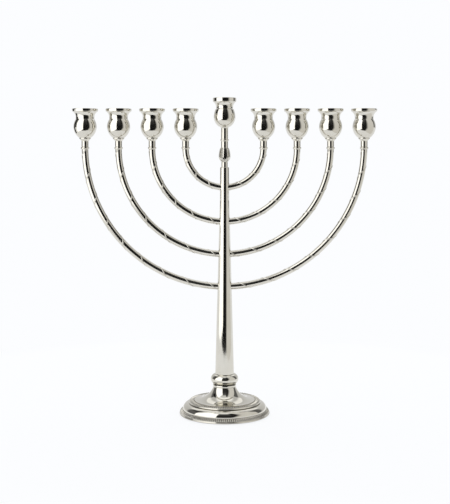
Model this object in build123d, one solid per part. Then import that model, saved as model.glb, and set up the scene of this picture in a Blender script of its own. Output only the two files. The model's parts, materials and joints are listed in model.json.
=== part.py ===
from build123d import *
import math
import os

# Nine-cup candelabrum (hanukkiah) in silver-plated brass, all dimensions in millimetres.
# +Z is up, +X runs along the row of cups, and the origin is on the table under the
# column's axis. Four concentric U-shaped tubes pass through a tapered column, and each
# carries two of the eight side cups. The ninth cup stands higher, on the column's axis.

# Overall layout
ARM_COUNT = 4
INNER_ARM_RADIUS = 37.6
ARM_STEP = 32.35
ARM_HOLE_Z = (218.7, 185.6, 154.2, 122.8)
ARM_TOP_Z = 257.8
SIDE_CUP_SEAT_Z = 266.4
CENTRE_CUP_SEAT_Z = 275.2
SIDES = {"left": -1, "right": 1}

# Gaps that solder or a thread fills
SOLDER_GAP = 0.02
RING_GAP = 0.05
SPIGOT_GAP = 0.15
THREAD_GAP = 0.05

# Arm tubes, the ferrules on their ends and the beads that cover the joints
ARM_RADIUS = 3.2
ARM_WALL = 0.9
FERRULE_RADIUS = 3.35
FERRULE_DISC_RADIUS = 5.5
FERRULE_DISC_HEIGHT = 0.9
FERRULE_CONE_HEIGHT = 2.2
FERRULE_SPIGOT_LENGTH = 4.0
BEAD_RADIUS = 4.15
BEAD_HEIGHT = 2.4
SIDE_BEAD_Z = 256.5

# Cups: a round bowl, a crease, a narrow waist and a flared rim over a dished candle bore.
# The rim's band is rolled on the side cups and upright on the centre cup. The side cup's
# bowl starts at its foot, the centre cup's above a small flared foot.
SIDE_CUP = {
    "height": 28.1,
    "foot": (5.6, 0.0),
    "bowl_start": (5.6, 0.0),
    "belly": (11.1, 10.6),
    "crease": (9.25, 17.5),
    "waist": 8.9,
    "rim": 12.45,
    "band": 2.7,
    "band_draft": 0.25,
}
CENTRE_CUP = {
    "height": 29.8,
    "foot": (3.5, 0.0),
    "bowl_start": (5.6, 2.1),
    "belly": (10.4, 11.2),
    "crease": (8.9, 18.6),
    "waist": 8.1,
    "rim": 11.3,
    "band": 3.8,
    "band_draft": 0.15,
}
FOOT_FLARE_BEND = (0.3, 0.7)
CREASE_STEP = 0.65
RIM_FLARE = 6.5
RIM_ROUND = 0.5
LIP_WIDTH = 0.9
CANDLE_BORE_RADIUS = 5.5
CANDLE_BORE_LENGTH = 13.5

# Screw that holds each cup down, sunk below the floor of the candle bore
SCREW_RADIUS = 1.45
SCREW_HOLE_RADIUS = 1.6
SCREW_HEAD_RADIUS = 2.9
SCREW_HEAD_HEIGHT = 1.6
SCREW_RECESS_RADIUS = 3.2
SCREW_RECESS_DEPTH = 1.9
SCREW_REACH = 6.0
SCREW_SLOT_WIDTH = 0.7
SCREW_SLOT_DEPTH = 0.8
TAPPED_DEPTH = 7.0
STUD_HOLE_ROOM = 1.0

# Column, nearly straight at its top and tapered below; the plug in its lower end and the
# turned cap that closes its top
COLUMN_BOTTOM_Z = 38.7
COLUMN_TAPER_TOP_Z = 206.0
COLUMN_TOP_Z = 237.3
COLUMN_BOTTOM_RADIUS = 9.1
COLUMN_TAPER_TOP_RADIUS = 4.6
COLUMN_TOP_RADIUS = 4.35
COLUMN_WALL = 1.1
PLUG_LENGTH = 20.0
PLUG_THREAD_RADIUS = 3.0
CAP_SPIGOT_LENGTH = 10.0
CAP_SHOULDER_ROUND = 1.0
CAP_NECK_RADIUS = 3.05

# Knop: a closed bud of upright petals that the centre stem rises out of
KNOP_FOOT = (3.05, 243.0)
KNOP_BELLY = (5.5, 248.2)
KNOP_MOUTH = (3.9, 256.8)
KNOP_SOCKET_Z = 252.0
PETAL_COUNT = 6
PETAL_GROOVE_RADIUS = 0.3

# Centre stem, and the stud that ties cap, knop and stem together
STEM_RADIUS = 3.4
CENTRE_BEAD_Z = 264.2
STUD_RADIUS = 1.95
STUD_BOTTOM_Z = 229.0
STUD_TOP_Z = 261.0

# Foot ring between column and base
FOOT_RING_BOTTOM_Z = 28.4
FOOT_RING_TUBE_CENTRE = 8.2
TIE_HOLE_RADIUS = 3.2

# Stepped base: lipped neck, hollow flare, upper step, round lower step and thin flange
BASE_BOTTOM_Z = 0.3
BASE_LIP_RADIUS = 11.1
BASE_LIP_BULGE = 0.2
BASE_LIP_BOTTOM_Z = 26.2
FLARE_NECK_RADIUS = 10.7
FLARE_UPRIGHT_Z = 29.5
UPPER_STEP = (29.3, 13.5)
UPPER_SEAT_Z = 12.6
UPPER_EDGE_INNER_RADIUS = 33.8
UPPER_EDGE_ROUND = 0.85
LOWER_STEP_CENTRE = (34.6, 4.9)
LOWER_STEP_ROUND = 5.9
LOWER_SEAT_TOP = (40.3, 4.6)
LOWER_SEAT_FOOT = (42.8, 2.1)
FLANGE_RADIUS = 43.6
FLANGE_ROUND = 0.7
CAVITY_RADIUS = 38.7
CAVITY_ROUND = 4.1
CAVITY_STEP = (31.8, 9.4)
CAVITY_CORNER = (30.4, 11.3)
CAVITY_SHOULDER = (18.0, 13.5)
BOSS_RADIUS = 13.0
BOSS_Z = 16.0

# Ornamental wires soldered round both steps
UPPER_WIRE_HEIGHT = 1.0
LOWER_WIRE_BULGE = 0.75

# What the base holds: felt, closing plate, weight, and the bolt that clamps the column
FELT_THICKNESS = 1.2
PLATE_THICKNESS = 0.8
PLATE_RADIUS = 38.4
WEIGHT_RADIUS = 36.0
WEIGHT_HOLE_RADIUS = 9.0
WEIGHT_HEIGHT = 6.5
BOLT_RADIUS = 2.95
BOLT_HEAD_FLATS = 10.0
BOLT_HEAD_HEIGHT = 4.0
BOLT_TOP_Z = 56.0
WASHER_RADIUS = 6.4
WASHER_THICKNESS = 1.2


def turned(start, *steps):
    """Turn a closed outline in (radius, height) about the Z axis.

    A step is a point to run straight to, a pair of points to run an arc through and to,
    or an edge that starts where the outline has got to."""
    edges = []
    here = start
    for step in steps:
        if isinstance(step, Edge):
            edges.append(step)
            here = ((step @ 1).X, (step @ 1).Y)
        elif isinstance(step[0], tuple):
            edges.append(ThreePointArc(here, step[0], step[1]))
            here = step[1]
        else:
            edges.append(Line(here, step))
            here = step
    edges.append(Line(here, start))
    return revolve(make_face([Plane.XZ * edge for edge in edges]), Axis.Z)


def bar(radius, bottom, top):
    """A round bar on the Z axis between two heights."""
    return Pos(0, 0, bottom) * extrude(Circle(radius), top - bottom)


def on_circle(centre, radius, degrees):
    """The point of a circle, in (radius, height), at an angle from the outward direction."""
    angle = math.radians(degrees)
    return (centre[0] + radius * math.cos(angle), centre[1] + radius * math.sin(angle))


def bulge_circle(end, widest):
    """Centre and radius of the arc through end that is upright at its widest point."""
    rise = widest[1] - end[1]
    centre = (widest[0] ** 2 - end[0] ** 2 - rise**2) / (2 * (widest[0] - end[0]))
    return (centre, widest[1]), widest[0] - centre


def bulge_middle(end, widest):
    """Middle of the arc between end and the widest point, where it is upright."""
    centre, radius = bulge_circle(end, widest)
    sweep = math.degrees(math.atan2(end[1] - centre[1], end[0] - centre[0]))
    return on_circle(centre, radius, sweep / 2)


def taper_radius(height):
    """Outside radius of the column's tapered stretch at a height."""
    share = (height - COLUMN_BOTTOM_Z) / (COLUMN_TAPER_TOP_Z - COLUMN_BOTTOM_Z)
    return COLUMN_BOTTOM_RADIUS + share * (COLUMN_TAPER_TOP_RADIUS - COLUMN_BOTTOM_RADIUS)


def arm_span(index):
    """Distance from the column's axis to the cups of an arm, counted from the innermost."""
    return INNER_ARM_RADIUS + index * ARM_STEP


def arm_centre_z(index):
    """Height of the centre of an arm's half circle."""
    return ARM_HOLE_Z[index] + arm_span(index)


def bend(index, section):
    """Sweep a section round the half circle of an arm, below its centre."""
    centre_z = arm_centre_z(index)
    axis = Axis((0, 0, centre_z), (0, 1, 0))
    return revolve(Pos(arm_span(index), 0, centre_z) * section, axis, 180)


def make_arm(index):
    """U-shaped tube: a half circle with short upright ends, open at both."""
    ring = Circle(ARM_RADIUS) - Circle(ARM_RADIUS - ARM_WALL)
    centre_z = arm_centre_z(index)
    arm = bend(index, ring)
    for side in SIDES.values():
        foot = Pos(side * arm_span(index), 0, centre_z)
        arm += extrude(foot * ring, ARM_TOP_Z - centre_z)
    return arm


def make_ferrule():
    """Turned end piece of an arm; the cup sits on its disc, at height 0."""
    cone_bottom = -FERRULE_DISC_HEIGHT - FERRULE_CONE_HEIGHT
    shaft_bottom = ARM_TOP_Z - SIDE_CUP_SEAT_Z
    spigot_radius = ARM_RADIUS - ARM_WALL - SPIGOT_GAP
    spigot_bottom = shaft_bottom - FERRULE_SPIGOT_LENGTH
    body = turned(
        (0, 0),
        (FERRULE_DISC_RADIUS, 0),
        (FERRULE_DISC_RADIUS, -FERRULE_DISC_HEIGHT),
        (FERRULE_RADIUS, cone_bottom),
        (FERRULE_RADIUS, shaft_bottom),
        (spigot_radius, shaft_bottom),
        (spigot_radius, spigot_bottom),
        (0, spigot_bottom),
    )
    return body - bar(SCREW_RADIUS + THREAD_GAP, -TAPPED_DEPTH, 0)


def make_bead(inner_radius):
    """Half-round ring that covers a joint, centred on height 0."""
    half = BEAD_HEIGHT / 2
    inner = inner_radius + RING_GAP
    return turned((inner, -half), ((BEAD_RADIUS, 0), (inner, half)))


def bore_floor(cup):
    """Height of the candle bore's floor above the cup's seat."""
    dish = cup["rim"] - 2 * RIM_ROUND - LIP_WIDTH - CANDLE_BORE_RADIUS
    return cup["height"] - RIM_ROUND - dish - CANDLE_BORE_LENGTH


def make_cup(cup):
    """Tulip-shaped candle cup that stands on height 0."""
    top = cup["height"]
    rim = cup["rim"]
    band_foot = (rim - cup["band_draft"], top - cup["band"])
    band_top = (rim, top - RIM_ROUND)
    flare_sweep = math.acos((cup["waist"] + RIM_FLARE - band_foot[0]) / RIM_FLARE)
    flare = (cup["waist"] + RIM_FLARE, band_foot[1] - RIM_FLARE * math.sin(flare_sweep))
    lip = rim - RIM_ROUND - LIP_WIDTH
    dish = (CANDLE_BORE_RADIUS, top - RIM_ROUND)
    dish_radius = lip - RIM_ROUND - CANDLE_BORE_RADIUS
    floor = bore_floor(cup)
    recess = floor - SCREW_RECESS_DEPTH
    steps = [cup["foot"]]
    if cup["bowl_start"] != cup["foot"]:
        flare_mid = tuple(
            foot + share * (start - foot)
            for foot, start, share in zip(cup["foot"], cup["bowl_start"], FOOT_FLARE_BEND)
        )
        steps.append((flare_mid, cup["bowl_start"]))
    steps += [
        (bulge_middle(cup["bowl_start"], cup["belly"]), cup["belly"]),
        (bulge_middle(cup["crease"], cup["belly"]), cup["crease"]),
        (cup["waist"], cup["crease"][1] + CREASE_STEP),
        (cup["waist"], flare[1]),
        (on_circle(flare, RIM_FLARE, 180 - math.degrees(flare_sweep) / 2), band_foot),
        (bulge_middle(band_foot, band_top), band_top),
        (on_circle((rim - RIM_ROUND, top - RIM_ROUND), RIM_ROUND, 45), (rim - RIM_ROUND, top)),
        (lip, top),
        (on_circle((lip, top - RIM_ROUND), RIM_ROUND, 135), (lip - RIM_ROUND, top - RIM_ROUND)),
        (on_circle(dish, dish_radius, -45), (CANDLE_BORE_RADIUS, floor + CANDLE_BORE_LENGTH)),
        (CANDLE_BORE_RADIUS, floor),
        (SCREW_RECESS_RADIUS, floor),
        (SCREW_RECESS_RADIUS, recess),
        (SCREW_HOLE_RADIUS, recess),
    ]
    return turned((SCREW_HOLE_RADIUS, 0), *steps)


def make_cup_screw(cup):
    """Slotted cheese-head screw for a cup whose seat is at height 0."""
    head_bottom = bore_floor(cup) - SCREW_RECESS_DEPTH
    head_top = head_bottom + SCREW_HEAD_HEIGHT
    screw = bar(SCREW_RADIUS, -SCREW_REACH, head_bottom)
    screw += bar(SCREW_HEAD_RADIUS, head_bottom, head_top)
    slot = Rectangle(2 * SCREW_RECESS_RADIUS, SCREW_SLOT_WIDTH)
    return screw - Pos(0, 0, head_top) * extrude(slot, -SCREW_SLOT_DEPTH)


def make_column():
    """Tapered tube with holes fitted to the curve of the four arms that pass through."""
    column = turned(
        (COLUMN_BOTTOM_RADIUS - COLUMN_WALL, COLUMN_BOTTOM_Z),
        (COLUMN_BOTTOM_RADIUS, COLUMN_BOTTOM_Z),
        (COLUMN_TAPER_TOP_RADIUS, COLUMN_TAPER_TOP_Z),
        (COLUMN_TOP_RADIUS, COLUMN_TOP_Z),
        (COLUMN_TOP_RADIUS - COLUMN_WALL, COLUMN_TOP_Z),
        (COLUMN_TAPER_TOP_RADIUS - COLUMN_WALL, COLUMN_TAPER_TOP_Z),
    )
    for index in range(ARM_COUNT):
        column -= bend(index, Circle(ARM_RADIUS + SOLDER_GAP))
    return column


def make_column_plug():
    """Threaded brass plug soldered into the column's lower end."""
    top = COLUMN_BOTTOM_Z + PLUG_LENGTH
    inset = COLUMN_WALL + SOLDER_GAP
    return turned(
        (PLUG_THREAD_RADIUS, COLUMN_BOTTOM_Z),
        (taper_radius(COLUMN_BOTTOM_Z) - inset, COLUMN_BOTTOM_Z),
        (taper_radius(top) - inset, top),
        (PLUG_THREAD_RADIUS, top),
    )


def make_column_cap():
    """Turned cap: spigot in the column, rounded shoulder and the neck below the knop."""
    thread = STUD_RADIUS + THREAD_GAP
    spigot = COLUMN_TOP_RADIUS - COLUMN_WALL - RING_GAP
    shoulder_z = COLUMN_TOP_Z + CAP_SHOULDER_ROUND
    shoulder = (COLUMN_TOP_RADIUS - CAP_SHOULDER_ROUND, COLUMN_TOP_Z)
    return turned(
        (thread, COLUMN_TOP_Z - CAP_SPIGOT_LENGTH),
        (spigot, COLUMN_TOP_Z - CAP_SPIGOT_LENGTH),
        (spigot, COLUMN_TOP_Z),
        (COLUMN_TOP_RADIUS, COLUMN_TOP_Z),
        (on_circle(shoulder, CAP_SHOULDER_ROUND, 45), (shoulder[0], shoulder_z)),
        (CAP_NECK_RADIUS, shoulder_z),
        (CAP_NECK_RADIUS, KNOP_FOOT[1]),
        (thread, KNOP_FOOT[1]),
    )


def make_knop():
    """Petalled bud with a socket in its open top for the centre stem."""
    thread = STUD_RADIUS + THREAD_GAP
    socket = STEM_RADIUS + RING_GAP
    upper, upper_radius = bulge_circle(KNOP_MOUTH, KNOP_BELLY)
    knop = turned(
        (thread, KNOP_FOOT[1]),
        KNOP_FOOT,
        (bulge_middle(KNOP_FOOT, KNOP_BELLY), KNOP_BELLY),
        (bulge_middle(KNOP_MOUTH, KNOP_BELLY), KNOP_MOUTH),
        (socket, KNOP_MOUTH[1]),
        (socket, KNOP_SOCKET_Z),
        (thread, KNOP_SOCKET_Z),
    )
    groove = Pos(upper[0], 0, upper[1]) * Rot(90, 0, 0) * Torus(upper_radius, PETAL_GROOVE_RADIUS)
    for petal in range(PETAL_COUNT):
        knop -= Rot(0, 0, petal * 360 / PETAL_COUNT) * groove
    return knop


def make_stem():
    """Centre stem, threaded for the stud below and for the cup's screw above."""
    stem = bar(STEM_RADIUS, KNOP_SOCKET_Z, CENTRE_CUP_SEAT_Z)
    stem -= bar(STUD_RADIUS + THREAD_GAP, KNOP_SOCKET_Z, STUD_TOP_Z + STUD_HOLE_ROOM)
    return stem - bar(SCREW_RADIUS + THREAD_GAP, CENTRE_CUP_SEAT_Z - TAPPED_DEPTH, CENTRE_CUP_SEAT_Z)


def make_foot_ring():
    """Round-edged ring that the column stands on."""
    rise = (COLUMN_BOTTOM_Z - FOOT_RING_BOTTOM_Z) / 2
    widest = (FOOT_RING_TUBE_CENTRE + rise, FOOT_RING_BOTTOM_Z + rise)
    return turned(
        (TIE_HOLE_RADIUS, FOOT_RING_BOTTOM_Z),
        (FOOT_RING_TUBE_CENTRE, FOOT_RING_BOTTOM_Z),
        (widest, (FOOT_RING_TUBE_CENTRE, COLUMN_BOTTOM_Z)),
        (TIE_HOLE_RADIUS, COLUMN_BOTTOM_Z),
    )


def make_base_foot():
    """Stepped base, hollow underneath, with a boss for the bolt."""
    lip_mid = (BASE_LIP_RADIUS + BASE_LIP_BULGE, (FOOT_RING_BOTTOM_Z + BASE_LIP_BOTTOM_Z) / 2)
    flare_width = UPPER_STEP[0] - FLARE_NECK_RADIUS
    flare_drop = FLARE_UPRIGHT_Z - UPPER_STEP[1]
    flare_start = math.asin((FLARE_UPRIGHT_Z - BASE_LIP_BOTTOM_Z) / flare_drop)
    neck = (UPPER_STEP[0] - flare_width * math.cos(flare_start), BASE_LIP_BOTTOM_Z)
    flare = EllipticalCenterArc(
        (UPPER_STEP[0], FLARE_UPRIGHT_Z),
        flare_width,
        flare_drop,
        start_angle=180 + math.degrees(flare_start),
        arc_size=90 - math.degrees(flare_start),
    )
    edge_bottom_z = UPPER_SEAT_Z - 2 * UPPER_EDGE_ROUND
    edge_mid = (UPPER_EDGE_INNER_RADIUS + UPPER_EDGE_ROUND, UPPER_SEAT_Z - UPPER_EDGE_ROUND)
    step_top = on_circle(LOWER_STEP_CENTRE, LOWER_STEP_ROUND, 90)
    step_side = on_circle(LOWER_STEP_CENTRE, LOWER_STEP_ROUND, 0)
    flange_top = (FLANGE_RADIUS - FLANGE_ROUND, BASE_BOTTOM_Z + 2 * FLANGE_ROUND)
    flange_mid = (FLANGE_RADIUS, BASE_BOTTOM_Z + FLANGE_ROUND)
    cavity_side = (CAVITY_RADIUS, LOWER_STEP_CENTRE[1])
    cavity_top = on_circle(LOWER_STEP_CENTRE, CAVITY_ROUND, 90)
    return turned(
        (TIE_HOLE_RADIUS, FOOT_RING_BOTTOM_Z),
        (BASE_LIP_RADIUS, FOOT_RING_BOTTOM_Z),
        (lip_mid, neck),
        flare,
        (UPPER_STEP[0], UPPER_SEAT_Z),
        (UPPER_EDGE_INNER_RADIUS, UPPER_SEAT_Z),
        (edge_mid, (UPPER_EDGE_INNER_RADIUS, edge_bottom_z)),
        (UPPER_EDGE_INNER_RADIUS, step_top[1]),
        step_top,
        (on_circle(LOWER_STEP_CENTRE, LOWER_STEP_ROUND, 45), step_side),
        LOWER_SEAT_TOP,
        LOWER_SEAT_FOOT,
        flange_top,
        (flange_mid, (flange_top[0], BASE_BOTTOM_Z)),
        (CAVITY_RADIUS, BASE_BOTTOM_Z),
        cavity_side,
        (on_circle(LOWER_STEP_CENTRE, CAVITY_ROUND, 45), cavity_top),
        CAVITY_STEP,
        CAVITY_CORNER,
        CAVITY_SHOULDER,
        (BOSS_RADIUS, BOSS_Z),
        (TIE_HOLE_RADIUS, BOSS_Z),
    )


def make_upper_wire():
    """Half-round ornamental wire that lies on the upper step."""
    inner = (UPPER_STEP[0] + RING_GAP, UPPER_SEAT_Z)
    outer = (UPPER_EDGE_INNER_RADIUS, UPPER_SEAT_Z)
    crown = ((inner[0] + outer[0]) / 2, UPPER_SEAT_Z + UPPER_WIRE_HEIGHT)
    return turned(inner, (crown, outer))


def make_lower_wire():
    """Half-round ornamental wire on the sloping seat above the flange."""
    run = LOWER_SEAT_FOOT[0] - LOWER_SEAT_TOP[0]
    drop = LOWER_SEAT_TOP[1] - LOWER_SEAT_FOOT[1]
    length = math.hypot(run, drop)
    middle = (LOWER_SEAT_TOP[0] + run / 2, LOWER_SEAT_TOP[1] - drop / 2)
    crown = (
        middle[0] + LOWER_WIRE_BULGE * drop / length,
        middle[1] + LOWER_WIRE_BULGE * run / length,
    )
    return turned(LOWER_SEAT_TOP, (crown, LOWER_SEAT_FOOT))


def make_base_bolt():
    """Hexagon bolt that pulls column, foot ring and base together."""
    head_bottom = BOSS_Z - WASHER_THICKNESS - BOLT_HEAD_HEIGHT
    hexagon = RegularPolygon(BOLT_HEAD_FLATS / 2, 6, major_radius=False)
    bolt = Pos(0, 0, head_bottom) * extrude(hexagon, BOLT_HEAD_HEIGHT)
    return bolt + bar(BOLT_RADIUS, head_bottom, BOLT_TOP_Z)


def make_bolt_washer():
    """Plain washer under the bolt's head."""
    bottom = BOSS_Z - WASHER_THICKNESS
    return bar(WASHER_RADIUS, bottom, BOSS_Z) - bar(TIE_HOLE_RADIUS, bottom, BOSS_Z)


def make_base_weight():
    """Ring-shaped ballast in the base, clear of the bolt."""
    bottom = FELT_THICKNESS + PLATE_THICKNESS
    top = bottom + WEIGHT_HEIGHT
    return bar(WEIGHT_RADIUS, bottom, top) - bar(WEIGHT_HOLE_RADIUS, bottom, top)


def make_parts():
    """Every piece in its place, by the name of its node."""
    plate_top = FELT_THICKNESS + PLATE_THICKNESS
    parts = {
        "base_foot": make_base_foot(),
        "upper_ornament_wire": make_upper_wire(),
        "lower_ornament_wire": make_lower_wire(),
        "felt_pad": bar(PLATE_RADIUS, 0, FELT_THICKNESS),
        "base_plate": bar(PLATE_RADIUS, FELT_THICKNESS, plate_top),
        "base_weight": make_base_weight(),
        "base_bolt": make_base_bolt(),
        "bolt_washer": make_bolt_washer(),
        "foot_ring": make_foot_ring(),
        "column": make_column(),
        "column_plug": make_column_plug(),
        "column_cap": make_column_cap(),
        "knop": make_knop(),
        "centre_stud": bar(STUD_RADIUS, STUD_BOTTOM_Z, STUD_TOP_Z),
        "centre_stem": make_stem(),
        "centre_bead": Pos(0, 0, CENTRE_BEAD_Z) * make_bead(STEM_RADIUS),
        "centre_cup": Pos(0, 0, CENTRE_CUP_SEAT_Z) * make_cup(CENTRE_CUP),
        "centre_cup_screw": Pos(0, 0, CENTRE_CUP_SEAT_Z) * make_cup_screw(CENTRE_CUP),
    }
    ferrule = make_ferrule()
    bead = make_bead(ARM_RADIUS)
    cup = make_cup(SIDE_CUP)
    screw = make_cup_screw(SIDE_CUP)
    for index in range(ARM_COUNT):
        number = index + 1
        parts[f"arm_{number}"] = make_arm(index)
        for side, sign in SIDES.items():
            at_bead = Pos(sign * arm_span(index), 0, SIDE_BEAD_Z)
            at_seat = Pos(sign * arm_span(index), 0, SIDE_CUP_SEAT_Z)
            parts[f"bead_{side}_{number}"] = at_bead * bead
            parts[f"ferrule_{side}_{number}"] = at_seat * ferrule
            parts[f"cup_{side}_{number}"] = at_seat * cup
            parts[f"cup_screw_{side}_{number}"] = at_seat * screw
    return parts


os.makedirs("parts", exist_ok=True)
for node, solid in make_parts().items():
    export_step(solid, f"parts/{node}.step")
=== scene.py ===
"""Looks of a nine-cup silver candelabrum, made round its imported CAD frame.

Sizes are in millimetres, which MM turns into metres, except in the studio."""

import json
import math

import bpy
import bmesh
import numpy as np
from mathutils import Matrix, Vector


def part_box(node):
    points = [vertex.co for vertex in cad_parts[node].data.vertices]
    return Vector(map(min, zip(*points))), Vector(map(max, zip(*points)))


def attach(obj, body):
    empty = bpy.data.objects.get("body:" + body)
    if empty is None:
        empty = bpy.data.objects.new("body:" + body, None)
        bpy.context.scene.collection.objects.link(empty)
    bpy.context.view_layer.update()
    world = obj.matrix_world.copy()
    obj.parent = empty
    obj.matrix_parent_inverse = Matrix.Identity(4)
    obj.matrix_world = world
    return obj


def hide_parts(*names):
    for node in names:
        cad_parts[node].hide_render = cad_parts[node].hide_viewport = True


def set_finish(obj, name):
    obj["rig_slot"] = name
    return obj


MM = 0.001
BODY = "root"
SIDES = ("left", "right")
ARM_COUNT = 4
RING_GAP = 0.05
TIE_HOLE_RADIUS = 3.2
STUD_HOLE_RADIUS = 2.0

# Cups, from the seat up; height and rim come from the frame. Their points are (radius, height).
# FOOT_FLARE_BEND is the middle of the foot's flare, as shares of its run and its rise, and
# SCREW_RECESS is a radius and a depth
SIDE_CUP = {
    "foot": (5.6, 0.0),
    "bowl_start": (5.6, 0.0),
    "belly": (11.1, 10.6),
    "crease": (9.25, 17.5),
    "waist": 8.9,
    "band": 2.7,
    "band_draft": 0.25,
}
CENTRE_CUP = {
    "foot": (3.5, 0.0),
    "bowl_start": (5.6, 2.1),
    "belly": (10.4, 11.2),
    "crease": (8.9, 18.6),
    "waist": 8.1,
    "band": 3.8,
    "band_draft": 0.15,
}
FOOT_FLARE_BEND = (0.3, 0.7)
CREASE_STEP = 0.65
RIM_FLARE = 6.5
RIM_ROUND = 0.5
LIP_WIDTH = 0.9
CANDLE_BORE_RADIUS = 5.5
CANDLE_BORE_LENGTH = 13.5
SCREW_RECESS = (3.2, 1.9)
SCREW_HOLE_RADIUS = 1.6

# Ferrules: the spigot is a radius and a length, the hole for a cup's screw a radius and a depth
FERRULE_DISC_HEIGHT = 0.9
FERRULE_CONE_HEIGHT = 2.2
FERRULE_SHAFT_RADIUS = 3.35
FERRULE_SPIGOT = (2.15, 4.0)
TAP_HOLE = (1.5, 7.0)

# Arm tubes and the fine spiral line that is wound round them
ARM_RADIUS = 3.2
ARM_WALL = 0.9
SPIRAL_HEIGHT = 0.26
SPIRAL_HALF_WIDTH = 0.52
SPIRAL_SHAPE = 2.4
SPIRAL_STEPS_PER_TURN = 44
SPIRAL_FADE = 3.0
# Strength of the painted shade along the feet of the spiral line
SPIRAL_EDGE_SHADE = 0.55
# Places across the line, in half widths; beyond SPIRAL_EDGE, along the feet of the line, the tube
# gets painted shade
SPIRAL_ACROSS = np.array([-1.08, -1, -0.88, -0.66, -0.36, 0, 0.36, 0.66, 0.88, 1, 1.08])
SPIRAL_EDGE = 0.95
PLAIN_COUNT = 28
BORE_ROW_STEP = 6
# First crossing on the front of each half arm, measured along the arm from the column's
# axis, and the pitch of the spiral beyond it, for the four arms from the innermost out
SPIRAL = {
    "left": ((15.0, 15.8), (11.5, 20.0), (10.0, 24.9), (11.0, 24.6)),
    "right": ((16.6, 16.2), (14.6, 20.2), (8.4, 21.7), (19.6, 24.0)),
}

# Column cap, and the centre stem above the knop
CAP_SPIGOT_RADIUS = 3.2
CAP_SHOULDER_Z = 237.3
CAP_SHOULDER_ROUND = 1.0
CAP_NECK_RADIUS = 3.05
STEM_RADIUS = 3.4
STEM_SOCKET_TOP_Z = 262.0

# Knop. PETAL_EDGE is a share of half a petal; PETAL_BOTTOM, PETAL_ROUND and both fades are
# shares of the knop's height
KNOP_FOOT = (3.05, 243.0)
KNOP_BELLY = (5.5, 248.2)
KNOP_MOUTH = (3.9, 256.8)
KNOP_SOCKET = (3.45, 252.0)
KNOP_LIP_WIDTH = 0.25
KNOP_LIP_RISE = 0.12
KNOP_LIP_DEPTH = 0.1
KNOP_ROWS = 90
PETAL_COUNT = 6
PETAL_STEPS = 40
PETAL_EDGE = 0.84
PETAL_BOTTOM = 0.45
PETAL_ROUND = 0.37
PETAL_RIDGE = 0.2
PETAL_RIDGE_WIDTH = 0.4
PETAL_VALLEY = 0.25
PETAL_BANK_START = 0.1
PETAL_BANK_WIDTH = 0.35
PETAL_CROWN = 0.05
PETAL_FADE_FOOT = 0.08
PETAL_FADE_MOUTH = 0.05
# Strength of the darkening in the petal valleys: tarnishing and painted shade
PETAL_VALLEY_TARNISH_AND_SHADE = 0.25

# Base: lipped neck, hollow flare, upper step, round lower step and thin flange
BASE_TOP_Z = 28.4
BASE_BOTTOM_Z = 0.3
BASE_LIP_RADIUS = 11.1
BASE_LIP_BULGE = 0.2
BASE_LIP_BOTTOM_Z = 26.2
FLARE_NECK_RADIUS = 10.7
FLARE_UPRIGHT_Z = 29.5
FLARE_STEPS = 40
UPPER_STEP = (29.3, 13.5)
UPPER_SEAT_Z = 12.6
UPPER_EDGE_INNER_RADIUS = 33.8
UPPER_EDGE_ROUND = 0.85
LOWER_STEP_CENTRE = (34.6, 4.9)
LOWER_STEP_ROUND = 5.9
LOWER_SEAT_TOP = (40.3, 4.6)
LOWER_SEAT_FOOT = (42.8, 2.1)
FLANGE_RADIUS = 43.6
FLANGE_ROUND = 0.7
CAVITY_RADIUS = 38.7
CAVITY_ROUND = 4.1
CAVITY_STEP = (31.8, 9.4)
CAVITY_CORNER = (30.4, 11.3)
CAVITY_SHOULDER = (18.0, 13.5)
BOSS_RADIUS = 13.0
BOSS_Z = 16.0

# Ornamental wires: inner and outer are the ends of the straight seat that a wire lies on
WIRES = {
    "upper": {
        "teeth": 98,
        "inner": (UPPER_STEP[0] + RING_GAP, UPPER_SEAT_Z),
        "outer": (UPPER_EDGE_INNER_RADIUS, UPPER_SEAT_Z),
        "height": 1.0,
    },
    "lower": {
        "teeth": 142,
        "inner": LOWER_SEAT_TOP,
        "outer": LOWER_SEAT_FOOT,
        "height": 0.75,
    },
}
# The depth of a gap is a share of the wire's height. The darkening in the gaps, tarnishing and
# painted shade, falls with the height of the tooth from its strength in the gaps, and counts up to 1
WIRE_GAP_DEPTH = 0.95
WIRE_GAP_TARNISH_AND_SHADE = 1.5
WIRE_TARNISH_AND_SHADE_FALL = 2.0

# Outlines of turned pieces. A corner that turns less than SMOOTH_TURN is part of a smooth
# run; any other is rounded by a curve that starts EDGE_SOFTNESS before it, or a share of a
# short run. A long run gets one more point beside the curve, HOLD times as far from the corner
SMOOTH_TURN = math.radians(14)
ARC_STEP = math.radians(5)
EDGE_SOFTNESS = 0.12
SHORT_RUN_SHARE = 0.4
CURVE_SHARES = (0, 0.25, 0.5, 0.75, 1)
LONG_RUN = 4
HOLD = 1.5
ON_AXIS = 1e-6

# Mesh points closer than this, in metres, are one point
SAME_PLACE = 1e-8

# Waves that polishing by hand leaves
WAVE_COUNT = 7
WAVELENGTHS = (11, 26)


# ---------------------------------------------------------------- outlines


def smooth(share):
    """Ease from 0 to 1 as share does, level at both ends."""
    return share * share * (3 - 2 * share)


def through(start, middle, end):
    """Points of the arc from start through middle to end, without start itself."""
    a, b, c = (complex(*p) for p in (start, middle, end))
    w = (c - a) / (b - a)
    centre = a + (b - a) * (w - abs(w) ** 2) / (w - w.conjugate())
    sweep = np.angle((c - centre) / (a - centre))
    half = np.angle((b - centre) / (a - centre))
    if abs(half) > abs(sweep) or half * sweep < 0:
        sweep -= math.copysign(2 * math.pi, sweep)
    count = max(2, math.ceil(abs(sweep) / ARC_STEP))
    turns = [centre + (a - centre) * np.exp(1j * sweep * k / count) for k in range(1, count + 1)]
    return [(float(p.real), float(p.imag)) for p in turns]


def outline(start, *steps):
    """Outline in (radius, height). A step is a point, or the middle and end of an arc."""
    points = [start]
    for step in steps:
        if isinstance(step[0], tuple):
            points += through(points[-1], *step)
        else:
            points.append(step)
    return points


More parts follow.
